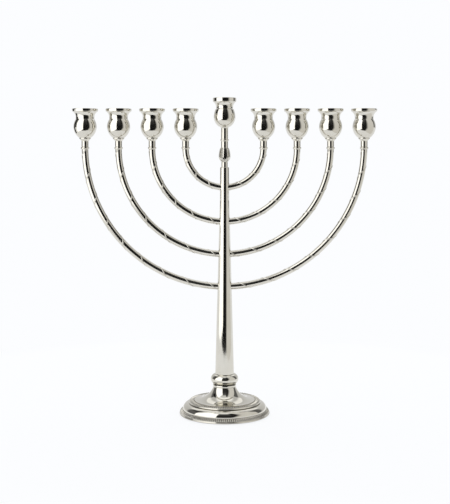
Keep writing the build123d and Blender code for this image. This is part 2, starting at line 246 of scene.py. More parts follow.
def on_circle(centre, radius, degrees):
    """The point of a circle at an angle from the outward direction."""
    angle = math.radians(degrees)
    return (centre[0] + radius * math.cos(angle), centre[1] + radius * math.sin(angle))


def bulge_circle(end, widest):
    """Centre and radius of the arc through end that is upright at its widest point."""
    rise = widest[1] - end[1]
    centre = (widest[0] ** 2 - end[0] ** 2 - rise**2) / (2 * (widest[0] - end[0]))
    return (centre, widest[1]), widest[0] - centre


def bulge_middle(end, widest):
    """Middle of the arc between end and the widest point, where it is upright."""
    centre, radius = bulge_circle(end, widest)
    sweep = math.degrees(math.atan2(end[1] - centre[1], end[0] - centre[0]))
    return on_circle(centre, radius, sweep / 2)


def softened(points):
    """Round the sharp corners of a closed outline and hold the straight runs flat beside them."""
    result = []
    for before, corner, after in zip(points[-1:] + points[:-1], points, points[1:] + points[:1]):
        back = np.subtract(before, corner)
        ahead = np.subtract(after, corner)
        back_length = np.hypot(*back)
        ahead_length = np.hypot(*ahead)
        turn = math.pi - math.acos(np.clip(back @ ahead / (back_length * ahead_length), -1, 1))
        if turn < SMOOTH_TURN or corner[0] < ON_AXIS:
            result.append(corner)
            continue
        cut = min(EDGE_SOFTNESS, SHORT_RUN_SHARE * min(back_length, ahead_length))
        first = corner + back / back_length * cut
        last = corner + ahead / ahead_length * cut
        if back_length > LONG_RUN * cut:
            result.append(tuple(corner + back / back_length * cut * HOLD))
        for t in CURVE_SHARES:
            curve = (1 - t) ** 2 * first + 2 * t * (1 - t) * np.array(corner) + t * t * last
            result.append(tuple(curve))
        if ahead_length > LONG_RUN * cut:
            result.append(tuple(corner + ahead / ahead_length * cut * HOLD))
    return result


# ---------------------------------------------------------------- meshes


def hand_finish(points, amount, seed):
    """Push points in or out by smooth small waves, as polishing by hand leaves them."""
    generator = np.random.default_rng(seed)
    shift = np.zeros(points.shape[:-1])
    for _ in range(WAVE_COUNT):
        direction = generator.normal(size=3)
        direction /= np.linalg.norm(direction)
        wavelength = generator.uniform(*WAVELENGTHS)
        phase = generator.uniform(0, 2 * math.pi)
        shift += np.sin(points @ direction * (2 * math.pi / wavelength) + phase)
    return shift * amount / WAVE_COUNT


def grid_uv(faces, rings):
    """Map of a grid's faces: once round from 0 to 1, and the length along in metres."""
    rows, columns = rings.shape[:2]
    steps = np.linalg.norm(rings - np.roll(rings, 1, axis=0), axis=-1)[:, 0]
    along = np.append(np.cumsum(steps), np.cumsum(steps)[-1] + steps[0]) * MM
    row = faces // columns
    row_of = np.where((row == 0) & (row[:, :1] == rows - 1), rows, row)
    column = faces % columns
    column_of = np.where((column == 0) & (column[:, :1] == columns - 1), columns, column)
    return np.stack([column_of / columns, along[row_of]], axis=-1)


def clean_up(mesh):
    """Join the points that meet on the axis and turn every face outward."""
    work = bmesh.new()
    work.from_mesh(mesh)
    bmesh.ops.remove_doubles(work, verts=work.verts, dist=SAME_PLACE)
    bmesh.ops.dissolve_degenerate(work, edges=work.edges, dist=SAME_PLACE)
    bmesh.ops.recalc_face_normals(work, faces=work.faces)
    work.to_mesh(mesh)
    work.free()


def grid_piece(name, rings, tarnish_and_shade=None, slot="polished_silver"):
    """A closed piece from a grid of points in millimetres, joined round both of its ways."""
    rows, columns = rings.shape[:2]
    index = np.arange(rows * columns).reshape(rows, columns)
    right = np.roll(index, -1, axis=1)
    up = np.roll(index, -1, axis=0)
    corner = np.roll(right, -1, axis=0)
    faces = np.stack([index, right, corner, up], axis=-1).reshape(-1, 4)
    mesh = bpy.data.meshes.new(name)
    mesh.from_pydata((rings.reshape(-1, 3) * MM).tolist(), [], faces.tolist())
    uv = grid_uv(faces, rings)
    mesh.uv_layers.new(name="turning").data.foreach_set("uv", uv.astype(np.float32).ravel())
    # Per-point darkening for the silver materials: tarnishing and painted shade
    values = np.zeros(rows * columns) if tarnish_and_shade is None else tarnish_and_shade.ravel()
    attribute = mesh.attributes.new("tarnish_and_shade", "FLOAT", "POINT")
    attribute.data.foreach_set("value", values.astype(np.float32))
    clean_up(mesh)
    mesh.shade_smooth()
    piece = bpy.data.objects.new(name, mesh)
    bpy.context.scene.collection.objects.link(piece)
    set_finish(piece, slot)
    return piece


def turned_rings(points, segments):
    """The grid of a turned outline, with its axis on Z."""
    angles = np.arange(segments) * (2 * math.pi / segments)
    radius = np.array([p[0] for p in points])[:, None]
    height = np.array([p[1] for p in points])[:, None]
    flat = [radius * np.cos(angles), radius * np.sin(angles)]
    return np.stack([*flat, height + 0 * angles], axis=-1)


def turned_piece(name, node, points, segments=128, wave=0.0, seed=0, seat_z=0.0):
    """A turned piece that stands for a CAD node, on that node's own axis."""
    lo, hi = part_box(node)
    rings = turned_rings(softened(points), segments)
    if wave:
        outward = rings * np.array([1, 1, 0])
        length = np.linalg.norm(outward, axis=-1, keepdims=True)
        outward = outward / np.maximum(length, ON_AXIS)
        rings = rings + outward * hand_finish(rings, wave, seed)[..., None]
    piece = grid_piece(name, rings)
    piece.location = ((lo.x + hi.x) / 2, (lo.y + hi.y) / 2, seat_z)
    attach(piece, BODY)
    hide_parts(node)
    return piece


# ---------------------------------------------------------------- pieces


def cup_outline(cup, rim, top):
    """Tulip-shaped cup over a dished candle bore, from its foot round to its screw hole."""
    band_foot = (rim - cup["band_draft"], top - cup["band"])
    band_top = (rim, top - RIM_ROUND)
    flare_sweep = math.acos((cup["waist"] + RIM_FLARE - band_foot[0]) / RIM_FLARE)
    flare = (cup["waist"] + RIM_FLARE, band_foot[1] - RIM_FLARE * math.sin(flare_sweep))
    lip = rim - RIM_ROUND - LIP_WIDTH
    dish = (CANDLE_BORE_RADIUS, top - RIM_ROUND)
    dish_radius = lip - RIM_ROUND - CANDLE_BORE_RADIUS
    floor = top - RIM_ROUND - dish_radius - CANDLE_BORE_LENGTH
    recess = floor - SCREW_RECESS[1]
    steps = [cup["foot"]]
    if cup["bowl_start"] != cup["foot"]:
        flare_mid = tuple(
            foot + share * (start - foot)
            for foot, start, share in zip(cup["foot"], cup["bowl_start"], FOOT_FLARE_BEND)
        )
        steps.append((flare_mid, cup["bowl_start"]))
    steps += [
        (bulge_middle(cup["bowl_start"], cup["belly"]), cup["belly"]),
        (bulge_middle(cup["crease"], cup["belly"]), cup["crease"]),
        (cup["waist"], cup["crease"][1] + CREASE_STEP),
        (cup["waist"], flare[1]),
        (on_circle(flare, RIM_FLARE, 180 - math.degrees(flare_sweep) / 2), band_foot),
        (bulge_middle(band_foot, band_top), band_top),
        (on_circle((rim - RIM_ROUND, top - RIM_ROUND), RIM_ROUND, 45), (rim - RIM_ROUND, top)),
        (lip, top),
        (on_circle((lip, top - RIM_ROUND), RIM_ROUND, 135), (lip - RIM_ROUND, top - RIM_ROUND)),
        (on_circle(dish, dish_radius, -45), (CANDLE_BORE_RADIUS, floor + CANDLE_BORE_LENGTH)),
        (CANDLE_BORE_RADIUS, floor),
        (SCREW_RECESS[0], floor),
        (SCREW_RECESS[0], recess),
        (SCREW_HOLE_RADIUS, recess),
    ]
    return outline((SCREW_HOLE_RADIUS, 0), *steps)


def make_cup(name, node, cup, seed):
    """Cup on its seat, as wide and as high as its node."""
    lo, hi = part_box(node)
    points = cup_outline(cup, (hi.x - lo.x) / 2 / MM, (hi.z - lo.z) / MM)
    return turned_piece(name, node, points, wave=0.014, seed=seed, seat_z=lo.z)


def make_ferrule(name, node):
    """Disc under a cup, with a cone, a shaft and a spigot that goes into the arm."""
    lo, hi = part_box(node)
    disc = (hi.x - lo.x) / 2 / MM
    bottom = (lo.z - hi.z) / MM
    shaft = bottom + FERRULE_SPIGOT[1]
    cone = -FERRULE_DISC_HEIGHT - FERRULE_CONE_HEIGHT
    points = outline(
        (TAP_HOLE[0], 0),
        (disc, 0),
        (disc, -FERRULE_DISC_HEIGHT),
        (FERRULE_SHAFT_RADIUS, cone),
        (FERRULE_SHAFT_RADIUS, shaft),
        (FERRULE_SPIGOT[0], shaft),
        (FERRULE_SPIGOT[0], bottom),
        (0.0, bottom),
        (0.0, -TAP_HOLE[1]),
        (TAP_HOLE[0], -TAP_HOLE[1]),
    )
    return turned_piece(name, node, points, segments=80, seat_z=hi.z)


def make_bead(name, node, inner):
    """Half-round ring on a tube that just fits its inner radius."""
    lo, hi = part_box(node)
    half = (hi.z - lo.z) / 2 / MM
    radius = (hi.x - lo.x) / 2 / MM
    points = outline((inner, -half), ((radius, 0), (inner, half)))
    return turned_piece(name, node, points, segments=80, seat_z=(lo.z + hi.z) / 2)


def spiral_turns(arcs, index):
    """Turns of the spiral at signed distances along an arm, whole where it crosses the front."""
    left, right = (
        (arcs - sign * SPIRAL[side][index][0]) / SPIRAL[side][index][1]
        for side, sign in zip(SIDES, (-1, 1))
    )
    middle = len(arcs) // 2
    right += np.round(left[middle] - right[middle])
    share = smooth(np.clip((arcs + SPIRAL_FADE) / (2 * SPIRAL_FADE), 0, 1))
    return left * (1 - share) + right * share


def girth_angles(arcs, index):
    """Angles round the tube from the spiral line: close across it, evenly spaced beyond."""
    pitch = np.where(arcs < 0, SPIRAL["left"][index][1], SPIRAL["right"][index][1])
    lean = pitch / np.hypot(pitch, 2 * math.pi * ARM_RADIUS)
    half_angle = (SPIRAL_HALF_WIDTH / lean / ARM_RADIUS)[:, None]
    edge = SPIRAL_ACROSS[-1] * half_angle
    plain = np.arange(1, PLAIN_COUNT + 1) / (PLAIN_COUNT + 1)
    return np.hstack([SPIRAL_ACROSS * half_angle, edge + plain * (2 * math.pi - 2 * edge)])


def bent_tube(bend_radius, centre_z, arcs, girth, radii):
    """Points of a tube that is bent to a half circle and goes straight up beyond it."""
    quarter = bend_radius * math.pi / 2
    bend = np.clip(arcs, -quarter, quarter) / bend_radius
    up = np.maximum(np.abs(arcs) - quarter, 0)
    outward = np.stack([np.sin(bend), 0 * bend, -np.cos(bend)], axis=-1)
    spine = outward * bend_radius + np.array([0, 0, 1]) * (centre_z + up)[:, None]
    front = np.array([0, -1, 0])
    side = outward[:, None, :] * np.sin(girth)[..., None]
    return spine[:, None, :] + radii[..., None] * (np.cos(girth)[..., None] * front + side)


def make_arm(index):
    """Tube bent to a half circle, with the raised spiral line worked into its wall."""
    node = f"arm_{index + 1}"
    lo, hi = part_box(node)
    bend_radius = (hi.x - lo.x) / 2 / MM - ARM_RADIUS
    centre_z = lo.z / MM + ARM_RADIUS + bend_radius
    half = bend_radius * math.pi / 2 + (hi.z / MM - centre_z)
    turns = 2 * half / min(SPIRAL[side][index][1] for side in SIDES)
    arcs = np.linspace(-half, half, math.ceil(turns * SPIRAL_STEPS_PER_TURN))
    angles = girth_angles(arcs, index)
    girth = angles + spiral_turns(arcs, index)[:, None] * 2 * math.pi

    line = slice(0, len(SPIRAL_ACROSS))
    crest = np.clip(1 - np.abs(SPIRAL_ACROSS) ** SPIRAL_SHAPE, 0, 1)
    ends = np.clip((half - np.abs(arcs)) / SPIRAL_FADE, 0, 1)
    radii = np.full(angles.shape, ARM_RADIUS)
    radii[:, line] += SPIRAL_HEIGHT * crest * ends[:, None]
    # Painted shade along both feet of the raised spiral line
    tarnish_and_shade = np.zeros(angles.shape)
    tarnish_and_shade[:, line] = np.where(np.abs(SPIRAL_ACROSS) > SPIRAL_EDGE, SPIRAL_EDGE_SHADE, 0.0)

    # The bore needs fewer rows than the outside, but it ends where the outside does
    rows = np.arange(len(arcs) - 1, -1, -BORE_ROW_STEP)
    rows = np.append(rows, 0) if rows[-1] else rows
    bore_radii = np.full(girth[rows].shape, ARM_RADIUS - ARM_WALL)
    outside = bent_tube(bend_radius, centre_z, arcs, girth, radii)
    bore = bent_tube(bend_radius, centre_z, arcs[rows], girth[rows], bore_radii)
    tarnish_and_shade = np.concatenate([tarnish_and_shade, np.zeros(bore.shape[:2])])
    piece = grid_piece(f"{node}_tube", np.concatenate([outside, bore]), tarnish_and_shade, slot="arm_silver")
    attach(piece, BODY)
    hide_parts(node)
    return piece


def knop_profile():
    """Rows of the knop's outside, and the points of its lip, socket and hole."""
    points = outline(
        KNOP_FOOT,
        (bulge_middle(KNOP_FOOT, KNOP_BELLY), KNOP_BELLY),
        (bulge_middle(KNOP_MOUTH, KNOP_BELLY), KNOP_MOUTH),
    )
    radii, heights = zip(*points)
    rows = np.linspace(KNOP_FOOT[1], KNOP_MOUTH[1], KNOP_ROWS)
    outside = [(float(np.interp(z, heights, radii)), float(z)) for z in rows]
    inside = [
        (KNOP_SOCKET[0] + KNOP_LIP_WIDTH, KNOP_MOUTH[1] + KNOP_LIP_RISE),
        (KNOP_SOCKET[0], KNOP_MOUTH[1] - KNOP_LIP_DEPTH),
        KNOP_SOCKET,
        (STUD_HOLE_RADIUS, KNOP_SOCKET[1]),
        (STUD_HOLE_RADIUS, KNOP_FOOT[1]),
    ]
    return rows, outside + inside


def make_knop():
    """Bud of upright petals, each with a raised edge that is round at its foot."""
    rows, points = knop_profile()
    segments = PETAL_STEPS * PETAL_COUNT
    rings = turned_rings(points, segments)
    angles = np.arange(segments) * (2 * math.pi / segments)
    half_petal = math.pi / PETAL_COUNT
    across = np.abs((angles % (2 * half_petal)) / half_petal - 1)
    share = (rows - KNOP_FOOT[1]) / (KNOP_MOUTH[1] - KNOP_FOOT[1])
    below = np.clip((PETAL_BOTTOM - share) / PETAL_ROUND, 0, None)
    reach = np.hypot(across[None, :], below[:, None])
    from_edge = (reach - PETAL_EDGE) * half_petal * KNOP_BELLY[0]
    ridge = PETAL_RIDGE * np.exp(-((from_edge / PETAL_RIDGE_WIDTH) ** 2))
    bank = np.clip((from_edge - PETAL_BANK_START) / PETAL_BANK_WIDTH, 0, 1)
    valley = PETAL_VALLEY * smooth(bank)
    crown = PETAL_CROWN * np.clip(1 - (reach / PETAL_EDGE) ** 2, 0, 1)
    fade = np.minimum(share / PETAL_FADE_FOOT, (1 - share) / PETAL_FADE_MOUTH)
    ends = np.clip(fade, 0, 1)[:, None]
    outward = rings[:KNOP_ROWS] * np.array([1, 1, 0])
    outward /= np.linalg.norm(outward, axis=-1, keepdims=True)
    rings[:KNOP_ROWS] += outward * ((ridge - valley + crown) * ends)[..., None]
    # Valleys between the petals darkened: tarnishing and painted shade
    tarnish_and_shade = np.zeros(rings.shape[:2])
    tarnish_and_shade[:KNOP_ROWS] = PETAL_VALLEY_TARNISH_AND_SHADE * bank * ends
    piece = grid_piece("knop_bud", rings, tarnish_and_shade, slot="ornament_silver")
    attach(piece, BODY)
    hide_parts("knop")
    return piece


def tooth_profile():
    """Place and height share within one tooth: a round crest between flat deep gaps."""
    places = np.array([0.0, 0.17, 0.2, 0.27, 0.38, 0.5, 0.62, 0.73, 0.8, 0.83])
    middle = 0.5
    half_width = 0.33
    crest = np.clip(1 - ((places - middle) / half_width) ** 2, 0, 1)
    return places, np.sqrt(crest)


def arch_profile():
    """Place and height share across a wire, from its inner edge to its outer edge."""
    places = np.array([0, 0.04, 0.12, 0.26, 0.42, 0.58, 0.74, 0.88, 0.96, 1.0])
    squareness = 3.0
    fullness = 0.6
    return places, np.clip(1 - np.abs(2 * places - 1) ** squareness, 0, 1) ** fullness


def make_wire(name, node, wire):
    """Ornamental wire of fine radial ridges on its straight seat."""
    places, tooth = tooth_profile()
    angles = (np.arange(wire["teeth"])[:, None] + places).ravel() * (2 * math.pi / wire["teeth"])
    teeth = np.tile(tooth, wire["teeth"])[None, :]
    steps, arch = (values[:, None] for values in arch_profile())
    inner = wire["inner"]
    seat = np.subtract(wire["outer"], inner)
    normal = np.array([-seat[1], seat[0]]) / np.hypot(*seat)
    lift = wire["height"] * arch * (1 - WIRE_GAP_DEPTH + WIRE_GAP_DEPTH * teeth)
    radius = inner[0] + seat[0] * steps + normal[0] * lift
    level = inner[1] + seat[1] * steps + normal[1] * lift
    rings = np.stack([radius * np.cos(angles), radius * np.sin(angles), level], axis=-1)
    # Gaps between the teeth darkened: tarnishing and painted shade
    tarnish_and_shade = np.clip(WIRE_GAP_TARNISH_AND_SHADE - teeth * WIRE_TARNISH_AND_SHADE_FALL, 0, 1) * np.sqrt(arch)
    piece = grid_piece(name, rings, tarnish_and_shade, slot="ornament_silver")
    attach(piece, BODY)
    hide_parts(node)
    return piece


def make_foot_ring():
    """Fat round ring between the base and the column."""
    lo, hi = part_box("foot_ring")
    bottom, top = lo.z / MM, hi.z / MM
    widest = (hi.x - lo.x) / 2 / MM
    tube_centre = widest - (top - bottom) / 2
    points = outline(
        (TIE_HOLE_RADIUS, bottom),
        (tube_centre, bottom),
        ((widest, (top + bottom) / 2), (tube_centre, top)),
        (TIE_HOLE_RADIUS, top),
    )
    return turned_piece("foot_ring_turned", "foot_ring", points, segments=160, wave=0.03, seed=31)


def make_column_cap():
    """Rounded shoulder on the column, with a thin neck above and a spigot below."""
    lo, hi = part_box("column_cap")
    bottom, top = lo.z / MM, hi.z / MM
    widest = (hi.x - lo.x) / 2 / MM
    centre = (widest - CAP_SHOULDER_ROUND, CAP_SHOULDER_Z)
    shoulder_top = CAP_SHOULDER_Z + CAP_SHOULDER_ROUND
    points = outline(
        (STUD_HOLE_RADIUS, bottom),
        (CAP_SPIGOT_RADIUS, bottom),
        (CAP_SPIGOT_RADIUS, CAP_SHOULDER_Z),
        (widest, CAP_SHOULDER_Z),
        (on_circle(centre, CAP_SHOULDER_ROUND, 45), (centre[0], shoulder_top)),
        (CAP_NECK_RADIUS, shoulder_top),
        (CAP_NECK_RADIUS, top),
        (STUD_HOLE_RADIUS, top),
    )
    return turned_piece("column_cap_turned", "column_cap", points, segments=96)


def make_stem():
    """Centre stem: a rod with a tapped hole above and a socket for the stud below."""
    lo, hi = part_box("centre_stem")
    bottom, top = lo.z / MM, hi.z / MM
    points = outline(
        (STUD_HOLE_RADIUS, bottom),
        (STEM_RADIUS, bottom),
        (STEM_RADIUS, top),
        (TAP_HOLE[0], top),
        (TAP_HOLE[0], top - TAP_HOLE[1]),
        (0.0, top - TAP_HOLE[1]),
        (0.0, STEM_SOCKET_TOP_Z),
        (STUD_HOLE_RADIUS, STEM_SOCKET_TOP_Z),
    )
    return turned_piece("centre_stem_turned", "centre_stem", points, segments=96, wave=0.012, seed=5)


def flare_points():
    """Hollow flare: the part of a quarter ellipse between the lip and the upper step."""
    width = UPPER_STEP[0] - FLARE_NECK_RADIUS
    drop = FLARE_UPRIGHT_Z - UPPER_STEP[1]
    start = math.asin((FLARE_UPRIGHT_Z - BASE_LIP_BOTTOM_Z) / drop)
    turns = np.linspace(start, math.pi / 2, FLARE_STEPS)
    radii = UPPER_STEP[0] - width * np.cos(turns)
    heights = FLARE_UPRIGHT_Z - drop * np.sin(turns)
    return list(zip(radii.tolist(), heights.tolist()))


def make_base():
    """Stepped base, hollow underneath."""
    flare = flare_points()
    lip_middle = (BASE_LIP_RADIUS + BASE_LIP_BULGE, (BASE_TOP_Z + BASE_LIP_BOTTOM_Z) / 2)
    edge_middle = (UPPER_EDGE_INNER_RADIUS + UPPER_EDGE_ROUND, UPPER_SEAT_Z - UPPER_EDGE_ROUND)
    edge_bottom_z = UPPER_SEAT_Z - 2 * UPPER_EDGE_ROUND
    step_top = on_circle(LOWER_STEP_CENTRE, LOWER_STEP_ROUND, 90)
    step_side = on_circle(LOWER_STEP_CENTRE, LOWER_STEP_ROUND, 0)
    flange_edge = FLANGE_RADIUS - FLANGE_ROUND
    cavity_top = on_circle(LOWER_STEP_CENTRE, CAVITY_ROUND, 90)
    points = outline(
        (TIE_HOLE_RADIUS, BASE_TOP_Z),
        (BASE_LIP_RADIUS, BASE_TOP_Z),
        (lip_middle, flare[0]),
        *flare[1:],
        (UPPER_STEP[0], UPPER_SEAT_Z),
        (UPPER_EDGE_INNER_RADIUS, UPPER_SEAT_Z),
        (edge_middle, (UPPER_EDGE_INNER_RADIUS, edge_bottom_z)),
        (UPPER_EDGE_INNER_RADIUS, step_top[1]),
        step_top,
        (on_circle(LOWER_STEP_CENTRE, LOWER_STEP_ROUND, 45), step_side),
        LOWER_SEAT_TOP,
        LOWER_SEAT_FOOT,
        (flange_edge, BASE_BOTTOM_Z + 2 * FLANGE_ROUND),
        ((FLANGE_RADIUS, BASE_BOTTOM_Z + FLANGE_ROUND), (flange_edge, BASE_BOTTOM_Z)),
        (CAVITY_RADIUS, BASE_BOTTOM_Z),
        (CAVITY_RADIUS, LOWER_STEP_CENTRE[1]),
        (on_circle(LOWER_STEP_CENTRE, CAVITY_ROUND, 45), cavity_top),
        CAVITY_STEP,
        CAVITY_CORNER,
        CAVITY_SHOULDER,
        (BOSS_RADIUS, BOSS_Z),
        (TIE_HOLE_RADIUS, BOSS_Z),
    )
    return turned_piece("base_foot_spun", "base_foot", points, segments=256, wave=0.015, seed=11)


def make_pieces():
    """Every visible piece that has more detail than its CAD node."""
    pieces = []
    for index in range(ARM_COUNT):
        number = index + 1
        pieces.append(make_arm(index))
        for side in SIDES:
            seed = 10 * number + SIDES.index(side)
            tag = f"{side}_{number}"
            pieces.append(make_cup(f"cup_{tag}_turned", f"cup_{tag}", SIDE_CUP, seed))
            pieces.append(make_ferrule(f"ferrule_{tag}_turned", f"ferrule_{tag}"))
            pieces.append(make_bead(f"bead_{tag}_turned", f"bead_{tag}", ARM_RADIUS + RING_GAP))
    pieces.append(make_cup("centre_cup_turned", "centre_cup", CENTRE_CUP, seed=99))
    pieces.append(make_bead("centre_bead_turned", "centre_bead", STEM_RADIUS + RING_GAP))
    pieces += [make_stem(), make_knop(), make_column_cap(), make_foot_ring(), make_base()]
    for step, wire in WIRES.items():
        pieces.append(make_wire(f"{step}_ornament", f"{step}_ornament_wire", wire))
    return pieces


# ---------------------------------------------------------------- materials

CLEAN_SILVER = (0.70, 0.68, 0.62)
TONED_SILVER = (0.655, 0.63, 0.56)
CREVICE_WIDTH = 0.9
# Strength of the crevice darkening from ambient occlusion: tarnishing and painted shade
CREVICE_TARNISH_AND_SHADE = 0.6
SMUDGE_ROUGHNESS = 0.045
SCRATCH_ROUGHNESS = 0.03
TARNISH_ROUGHNESS = 0.3
GRAIN_ROUGHNESS = 0.12


def add(tree, kind, **values):
    """A shader node, with its sockets set by name and its properties by name."""
    item = tree.nodes.new(kind)
    for key, value in values.items():
        if key in item.inputs:
            item.inputs[key].default_value = value
        else:
            setattr(item, key, value)
    return item


def new_material(name):
    """A material, its tree, its main shader and the place on the piece that it colours."""
    material = bpy.data.materials.new(name)
    material.use_nodes = True
    tree = material.node_tree
    place = add(tree, "ShaderNodeTexCoord").outputs["Object"]
    return material, tree, tree.nodes["Principled BSDF"], place


def ramp(tree, source, low, high, start=0.0, end=1.0):
    """Map a value between two limits onto two others, held at both ends."""
    item = add(tree, "ShaderNodeMapRange", clamp=True)
    tree.links.new(source, item.inputs["Value"])
    item.inputs["From Min"].default_value = low
    item.inputs["From Max"].default_value = high
    item.inputs["To Min"].default_value = start
    item.inputs["To Max"].default_value = end
    return item.outputs["Result"]


def noise(tree, place, scale, detail=2.0, roughness=0.5):
    """Cloudy value between 0 and 1; the scale is in clouds per metre."""
    item = add(tree, "ShaderNodeTexNoise", Scale=scale, Detail=detail, Roughness=roughness)
    tree.links.new(place, item.inputs["Vector"])
    return item.outputs["Fac"]


def mix_colour(tree, factor, first, second):
    """Mix of two colours, each a tuple or another node's output."""
    item = add(tree, "ShaderNodeMix", data_type="RGBA")
    tree.links.new(factor, item.inputs["Factor"])
    for socket, colour in ((item.inputs[6], first), (item.inputs[7], second)):
        if isinstance(colour, tuple):
            socket.default_value = (*colour, 1.0)
        else:
            tree.links.new(colour, socket)
    return item.outputs[2]


def arithmetic(tree, operation, first, second):
    """Result of a sum on two values, each a number or another node's output."""
    item = add(tree, "ShaderNodeMath", operation=operation)
    for socket, value in zip(item.inputs, (first, second)):
        if isinstance(value, (int, float)):
            socket.default_value = value
        else:
            tree.links.new(value, socket)
    return item.outputs[0]


def bumps(tree, shader, source, strength, height_mm):
    """Let a value stand out of the surface."""
    bump = add(tree, "ShaderNodeBump", Strength=strength, Distance=height_mm * MM)
    tree.links.new(source, bump.inputs["Height"])
    tree.links.new(bump.outputs["Normal"], shader.inputs["Normal"])


def silver(name, tarnish_and_shade_colour, rough):
    """Polished silver plate: faint clouds, fine scratches, and tarnishing with painted shade in the
    recesses.
    """
    material, tree, shader, place = new_material(name)
    clouds = noise(tree, place, scale=55.0, detail=3.0)
    smudges = noise(tree, place, scale=240.0, detail=4.0, roughness=0.65)
    hairlines = noise(tree, place, scale=2600.0)
    base = mix_colour(tree, ramp(tree, clouds, 0.35, 0.7), CLEAN_SILVER, TONED_SILVER)

    # Ambient occlusion darkens the crevices towards the darkened colour: tarnishing and painted
    # shade
    crevice = add(tree, "ShaderNodeAmbientOcclusion", samples=8, Distance=CREVICE_WIDTH * MM)
    hidden = ramp(tree, crevice.outputs["AO"], 0.25, 0.75, start=1.0, end=0.0)
    # Darkening that the pieces carry in a point attribute: tarnishing and painted shade
    marked_tarnish_and_shade = add(tree, "ShaderNodeAttribute", attribute_name="tarnish_and_shade").outputs["Fac"]
    dark = arithmetic(tree, "MAXIMUM", marked_tarnish_and_shade, arithmetic(tree, "MULTIPLY", hidden, CREVICE_TARNISH_AND_SHADE))
    dark = arithmetic(tree, "MULTIPLY", dark, ramp(tree, smudges, 0.3, 0.6, start=0.7))
    tree.links.new(mix_colour(tree, dark, base, tarnish_and_shade_colour), shader.inputs["Base Color"])

    polish = ramp(tree, smudges, 0.3, 0.75, start=rough, end=rough + SMUDGE_ROUGHNESS)
    scratches = ramp(tree, hairlines, 0.55, 0.75, end=SCRATCH_ROUGHNESS)
    polish = arithmetic(tree, "ADD", polish, scratches)
    polish = arithmetic(tree, "ADD", polish, arithmetic(tree, "MULTIPLY", dark, TARNISH_ROUGHNESS))
    tree.links.new(polish, shader.inputs["Roughness"])
    shader.inputs["Metallic"].default_value = 1.0
    bumps(tree, shader, hairlines, strength=0.05, height_mm=0.02)
    return material


def machined(name, first, second, rough):
    """Plain turned or plated metal of the hidden and small parts."""
    material, tree, shader, place = new_material(name)
    grain = noise(tree, place, scale=900.0, detail=4.0, roughness=0.6)
    clouds = noise(tree, place, scale=120.0)
    colour = mix_colour(tree, ramp(tree, clouds, 0.35, 0.65), first, second)
    tree.links.new(colour, shader.inputs["Base Color"])
    polish = ramp(tree, grain, 0.3, 0.7, start=rough, end=rough + GRAIN_ROUGHNESS)
    tree.links.new(polish, shader.inputs["Roughness"])
    shader.inputs["Metallic"].default_value = 1.0
    bumps(tree, shader, grain, strength=0.25, height_mm=0.05)
    return material


def felt(name):
    """Dense green wool felt with matted fibres."""
    dark = (0.012, 0.05, 0.028)
    light = (0.04, 0.13, 0.075)
    worn = (0.06, 0.15, 0.09)
    material, tree, shader, place = new_material(name)
    fibres = noise(tree, place, scale=1500.0, detail=6.0, roughness=0.75)
    mats = noise(tree, place, scale=180.0, detail=3.0, roughness=0.6)
    colour = mix_colour(tree, fibres, dark, light)
    colour = mix_colour(tree, ramp(tree, mats, 0.4, 0.7, end=0.5), colour, worn)
    tree.links.new(colour, shader.inputs["Base Color"])
    shader.inputs["Roughness"].default_value = 0.95
    shader.inputs["Sheen Weight"].default_value = 0.4
    bumps(tree, shader, fibres, strength=0.7, height_mm=0.25)
    return material


def make_materials():
    """One material for each slot that the record or a piece names."""
    return {
        # Each second colour is the darkened one for recesses, tarnishing and painted shade; the
        # ornament's is near black
        "polished_silver": silver("polished_silver", tarnish_and_shade_colour=(0.10, 0.085, 0.06), rough=0.045),
        "arm_silver": silver("arm_silver", tarnish_and_shade_colour=(0.11, 0.09, 0.065), rough=0.05),
        "ornament_silver": silver("ornament_silver", tarnish_and_shade_colour=(0.02, 0.017, 0.013), rough=0.07),
        "plated_screw": machined("plated_screw", (0.5, 0.48, 0.44), (0.42, 0.41, 0.38), 0.25),
        "brass": machined("brass", (0.78, 0.56, 0.25), (0.66, 0.46, 0.2), 0.22),
        "steel": machined("steel", (0.46, 0.47, 0.49), (0.36, 0.37, 0.39), 0.3),
        "cast_iron": machined("cast_iron", (0.06, 0.06, 0.065), (0.035, 0.033, 0.032), 0.6),
        "felt": felt("felt"),
    }


def dress(piece, material):
    """Give a piece its one material."""
    piece.data.materials.clear()
    piece.data.materials.append(material)


# ---------------------------------------------------------------- studio

# Places and sizes in metres; the camera's lens and sensor in millimetres
STUDIO_REACH = 12.0
WHITE = (0.973, 0.983, 1.0)
PAPER = (0.9, 0.9, 0.9)
SWEEP_DISTANCES = (0.12, 0.42)
FLOOR_EVEN_SHARE = 0.85
TABLE_EDGE_Y = -0.42
TABLE_END_Z = 0.0012
CARD_TOP = 1.3
FLAG_GLOW = 0.01
SOFTBOX_GLOW = 1.7
SOFTBOX_ENDS = ((-0.29, -0.70), (-0.60, -0.05))
REFLECTOR_COLOUR = (1.0, 0.985, 0.95)
REFLECTOR_ENDS = ((0.154, -0.423), (0.46, 0.06))
LEFT_FLAG_ENDS = ((-0.27, 0.03), (-0.27, 0.11))
LEFT_FLAG_HEIGHTS = (0.2, 0.45)

# How bright reflections see the studio, by the direction's Y (front to back) and Z (up)
BACKDROP_LEVELS = ((-0.12, 0.012), (0.04, 0.16), (0.48, 0.18), (0.6, 0.8), (1.0, 0.92))
CEILING_LEVELS = ((0.0, 0.0), (0.64, 0.05), (0.86, 0.12), (0.94, 0.95), (1.0, 1.0))

CAMERA_PLACE = (0.0004, -0.9554, 0.2421)
CAMERA_DIP_DEGREES = 0.772
CAMERA_LENS = 70.68
CAMERA_SENSOR = 36.0
CAMERA_SHIFT_Y = -0.15
CAMERA_CLIP = (0.05, 50)


